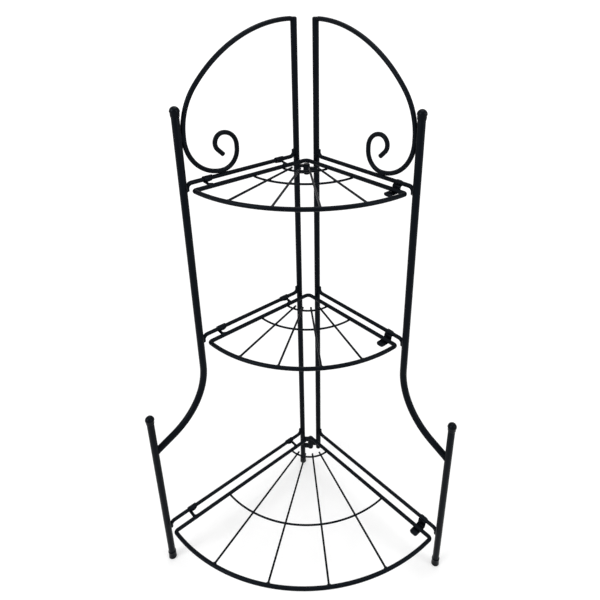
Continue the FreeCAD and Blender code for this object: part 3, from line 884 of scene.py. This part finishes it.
def model_bead():
    """A bead of unit half length along Z and unit half width."""
    start_clean()
    bpy.ops.mesh.primitive_uv_sphere_add(
        segments=16, ring_count=12, radius=1, location=(0, 0, 0))
    bead = bpy.context.object
    rows = sorted({round(vertex.co.z, 4) for vertex in bead.data.vertices})
    for row in rows[2:-2:2]:
        bpy.ops.object.mode_set(mode="EDIT")
        bpy.ops.mesh.select_all(action="DESELECT")
        bpy.ops.object.mode_set(mode="OBJECT")
        for vertex in bead.data.vertices:
            vertex.select = abs(vertex.co.z - row) < 0.001
        bpy.ops.object.mode_set(mode="EDIT")
        bpy.ops.transform.resize(value=(PINCH, PINCH, 1))
        bpy.ops.transform.translate(value=(0, 0, RIPPLE_SHIFT))
    bpy.ops.object.mode_set(mode="OBJECT")
    bpy.ops.object.shade_smooth()
    return bead


bead = model_bead()
print("bead with", len(bead.data.vertices), "points")

# %% Copying and joining beads
def weld(at, along, across, size):
    """A bead at a point, its half length, width and depth given in millimetres."""
    half_length, half_across, half_deep = (value * MM for value in size)
    along, across = along.normalized(), across.normalized()
    deep = along.cross(across)
    columns = across * half_across, deep * half_deep, along * half_length
    return settle(bead, Matrix.Translation(at) @ Matrix(columns).transposed().to_4x4())


def join_welds(pieces, name, body):
    start_clean()
    for piece in pieces:
        piece.select_set(True)
    bpy.context.view_layer.objects.active = pieces[0]
    bpy.ops.object.join()
    hand_over(bpy.context.object, name, body, "black_powder_coat", weld_coat)
    print(name, len(pieces), "beads")


print("beads are copied, then joined for each body")

# %% [markdown]
# A side frame is welded where the rails' ends lie along the posts, where the
# scroll touches the outer post, the top rail and the inner post, and where the
# sweep of the outer post meets the lower post.

# %% Beads at the rails
INNER_STUB_BEAD = (3.4, 2.3, 1.4)
OUTER_STUB_BEAD = (3.4, 2.5, 1.4)
STUB_SHARE = 0.4


def rail_welds(side, flat):
    beads = []
    stub = RAIL_BEND + RAIL_STUB * STUB_SHARE
    for tier, height in rail_heights.items():
        far = lower_reach if tier == "bottom" else outer_reach
        inner = on_frame(side, INNER_POST, height + stub)
        outer = on_frame(side, far - LOWER_POST, height - stub)
        beads.append(weld(inner, UP, flat, INNER_STUB_BEAD))
        beads.append(weld(outer, UP, flat, OUTER_STUB_BEAD))
    return beads


print("two beads for each rail")

# %% Beads at the scroll
SCROLL_RADIUS = 2.8 * MM
BESIDE_OUTER, BESIDE_INNER = 4.6 * MM, 3.9 * MM
SCROLL_TOUCH = 52.4 * MM
BOWL_REACH = 112.7 * MM
SCROLL_BEAD = (5.5, 2.3, 1.4)
BOWL_BEAD = (4, 1.9, 1.2)
ARCH_BEAD = (1.9, 3.1, 3.1)
ARCH_BEAD_DROP = 0.5 * MM


def scroll_welds(side, flat):
    """At the outer post and at the top rail."""
    out, rail = OUTWARD[side], rail_heights["top"]
    touch = on_frame(side, outer_reach - BESIDE_OUTER, rail + SCROLL_TOUCH)
    bowl = on_frame(side, BOWL_REACH, rail + RAIL_RADIUS)
    return [weld(touch, UP, flat, SCROLL_BEAD), weld(bowl, out, flat, BOWL_BEAD)]


def arch_weld(side):
    """Where the arch leaves the inner post."""
    arch = top_of(side + "_scroll") - SCROLL_RADIUS
    place = on_frame(side, BESIDE_INNER, arch - ARCH_BEAD_DROP)
    return weld(place, OUTWARD[side], UP, ARCH_BEAD)


print("three beads for each scroll")

# %% Bead at the sweep, and all beads of a frame
SWEEP_BEAD = (6.2, 4.4, 1.6)
SWEEP_BEAD_RISE = 2 * MM


def sweep_weld(side, flat):
    """Where the outer post runs into the lower one."""
    drop = FLARE_RADIUS * math.sin(flare_turn) + flare_run * math.cos(flare_turn)
    height = FLARE_START - drop + SWEEP_BEAD_RISE
    return weld(on_frame(side, lower_reach - BESIDE_OUTER, height), UP, flat, SWEEP_BEAD)


for side in ("left", "right"):
    flat = UP.cross(OUTWARD[side])
    beads = rail_welds(side, flat) + scroll_welds(side, flat)
    beads += [sweep_weld(side, flat), arch_weld(side)]
    join_welds(beads, side + "_frame_welds", side + "_frame")

# %% [markdown]
# On a shelf each spoke is welded to the rim in front and to the two arcs that
# cross under it, and the ends of the arcs are welded to the side rods.

# %% Beads along the spokes
SPOKES = (18, 36, 54, 72)
SPOKE_RADIUS = 1.4 * MM
ARCS = {"top": (39, 84), "middle": (39, 84), "bottom": (39, 158)}
RIM_BEAD = (2.6, 1.9, 1.2)
RIM_BEAD_INSET = 3.1 * MM
CROSSING_BEAD = (1.5, 1.5, 0.9)


def spoke_welds(tier, hub):
    beads = []
    for angle in SPOKES:
        turn = math.radians(angle)
        ray = OUTWARD["left"] * math.cos(turn) + OUTWARD["right"] * math.sin(turn)
        tangent = UP.cross(ray)
        beads.append(weld(hub + ray * (FANS[tier] - RIM_BEAD_INSET), tangent, UP, RIM_BEAD))
        for radius in ARCS[tier]:
            crossing = hub + ray * radius * MM - UP * SPOKE_RADIUS
            beads.append(weld(crossing, ray, tangent, CROSSING_BEAD))
    return beads


print(len(SPOKES), "spokes, arcs of these radii in mm:", ARCS)

# %% Beads at the ends of the arcs, and all beads of a shelf
ARC_END_BEAD = (1.9, 1.7, 1.1)
ARC_END_DROP = 2.3 * MM
ARC_END_INSET = 1.3 * MM


def arc_end_welds(tier, hub):
    one, two = OUTWARD["left"], OUTWARD["right"]
    beads = []
    for radius in ARCS[tier]:
        for ray, inward in ((one, two), (two, one)):
            end = hub + ray * radius * MM - UP * ARC_END_DROP + inward * ARC_END_INSET
            beads.append(weld(end, ray, inward, ARC_END_BEAD))
    return beads


for tier in ARCS:
    beads = spoke_welds(tier, shelf_hub(tier)) + arc_end_welds(tier, shelf_hub(tier))
    join_welds(beads, tier + "_shelf_welds", tier + "_shelf")
bpy.data.objects.remove(bead)

# %% [markdown]
# The floor is plain and pale and keeps the stand's shadow. More lamp light
# would whiten it, but would also grey the black metal. A little glow that only
# the camera sees lifts it to the white of the backdrop instead.

# %% Rays that see the backdrop
def seen_directly(tree):
    """1 for rays from the camera and for those that gloss or glass sends on."""
    path = tree.nodes.new("ShaderNodeLightPath")
    value = path.outputs["Is Camera Ray"]
    for kind in ("Is Glossy Ray", "Is Transmission Ray"):
        either = tree.nodes.new("ShaderNodeMath")
        either.operation = "MAXIMUM"
        tree.links.new(value, either.inputs[0])
        tree.links.new(path.outputs[kind], either.inputs[1])
        value = either.outputs["Value"]
    return value


print("the backdrop knows which rays see it")

# %% Paint of the floor
GLOW_NEAR, GLOW_FAR = 0.5, 3.0
GLOW_LOW, GLOW_HIGH = 0.34, 0.75

floor_paint, tree, shader = new_material("floor_paint")
shader.inputs["Base Color"].default_value = (0.72, 0.72, 0.72, 1)
shader.inputs["Roughness"].default_value = 0.9
shader.inputs["Specular IOR Level"].default_value = 0.0
place = tree.nodes.new("ShaderNodeTexCoord")
away = tree.nodes.new("ShaderNodeVectorMath")
away.operation = "LENGTH"
tree.links.new(place.outputs["Object"], away.inputs[0])
rise = tree.nodes.new("ShaderNodeMapRange")
rise.inputs["From Min"].default_value = GLOW_NEAR
rise.inputs["From Max"].default_value = GLOW_FAR
rise.inputs["To Min"].default_value = GLOW_LOW
rise.inputs["To Max"].default_value = GLOW_HIGH
tree.links.new(away.outputs["Value"], rise.inputs["Value"])
glow = tree.nodes.new("ShaderNodeMath")
glow.operation = "MULTIPLY"
tree.links.new(rise.outputs["Result"], glow.inputs[1])
tree.links.new(seen_directly(tree), glow.inputs[0])
tree.links.new(glow.outputs["Value"], shader.inputs["Emission Strength"])
shader.inputs["Emission Color"].default_value = (1, 1, 1, 1)
print("floor glow from", GLOW_LOW, "near the stand to", GLOW_HIGH, "far away")

# %% Floor
FLOOR_SIZE = 60
FLOOR_SINK = 0.2 * MM

start_clean()
bpy.ops.mesh.primitive_plane_add(size=FLOOR_SIZE, location=(0, 0, -FLOOR_SINK))
floor = bpy.context.object
floor.name = "studio_floor"
coat(floor, floor_paint)
print("floor", FLOOR_SIZE, "m wide")

# %% [markdown]
# The backdrop is the world. It is full white where the camera sees it and
# dimmer as a light, so that the black metal keeps its depth.

# %% Backdrop
WORLD_LIGHT, WORLD_SEEN = 0.55, 1.0

world = bpy.data.worlds.new("studio")
bpy.context.scene.world = world
world.use_nodes = True
tree = world.node_tree
tree.nodes.clear()
strength = tree.nodes.new("ShaderNodeMapRange")
strength.inputs["To Min"].default_value = WORLD_LIGHT
strength.inputs["To Max"].default_value = WORLD_SEEN
tree.links.new(seen_directly(tree), strength.inputs["Value"])
background = tree.nodes.new("ShaderNodeBackground")
background.inputs["Color"].default_value = (1, 1, 1, 1)
tree.links.new(strength.outputs["Result"], background.inputs["Strength"])
output = tree.nodes.new("ShaderNodeOutputWorld")
tree.links.new(background.outputs["Background"], output.inputs["Surface"])
print("backdrop lights with", WORLD_LIGHT, "and shows as", WORLD_SEEN)

# %% [markdown]
# Two big soft lamps, left and right of the camera, draw long pale lines down
# the tubes, which is how a satin black tube shows that it is round. A third one
# above gives the shelves their shadow.

# %% Lamps
def soft_lamp(name, place, aim, size, watts):
    light = bpy.data.lights.new(name, "AREA")
    light.shape = "RECTANGLE"
    light.size, light.size_y = size
    light.energy = watts
    lamp = bpy.data.objects.new(name, light)
    bpy.context.collection.objects.link(lamp)
    lamp.location = place
    lamp.rotation_euler = (Vector(aim) - Vector(place)).to_track_quat("-Z", "Y").to_euler()


soft_lamp("left_lamp", (-1.9, -1.5, 1.9), aim=(0, 0, 0.35), size=(1.2, 1.6), watts=34)
soft_lamp("right_lamp", (2.1, -1.1, 1.5), aim=(0, 0, 0.35), size=(0.9, 1.5), watts=16)
soft_lamp("top_lamp", (0.1, 0.3, 2.6), aim=(0, 0, 0.3), size=(1.6, 1.6), watts=20)
print("lamps:", [light.name for light in bpy.data.lights])

# %% [markdown]
# The camera stands where the photograph was taken from: a little above the
# stand, looking down at about 24 degrees. Its focal length is known in points
# of a picture 600 points wide and is turned into millimetres of the sensor.
# The picture's optical centre lies off its middle, so the lens is shifted by
# that much.

# %% Lens
FOCUS = 547.1
CENTRE = (333.0, 223.4)
IMAGE = 600

eye = bpy.data.cameras.new("eye")
eye.sensor_width = 36
eye.lens = FOCUS / IMAGE * eye.sensor_width
eye.shift_x = -(CENTRE[0] - IMAGE / 2) / IMAGE
eye.shift_y = (CENTRE[1] - IMAGE / 2) / IMAGE
print("lens", round(eye.lens, 2), "shift", round(eye.shift_x, 4), round(eye.shift_y, 4))

# %% Camera
TURN, TILT, LEAN = 0.021, math.radians(90) - 0.4246, 0.0067
EYE_SIDE, EYE_BACK, EYE_HEIGHT = 0.0495, 0.6838, 0.7554

camera = bpy.data.objects.new("eye", eye)
bpy.context.collection.objects.link(camera)
turned = Matrix.Rotation(TURN, 3, "Z") @ Matrix.Rotation(TILT, 3, "X")
camera.rotation_euler = (turned @ Matrix.Rotation(LEAN, 3, "Z")).to_euler()
camera.location = (EYE_SIDE, POSTS["left"].y - EYE_BACK, EYE_HEIGHT)
bpy.context.scene.camera = camera
bpy.context.scene.view_settings.view_transform = "Standard"
print("camera at", tuple(round(value, 3) for value in camera.location))
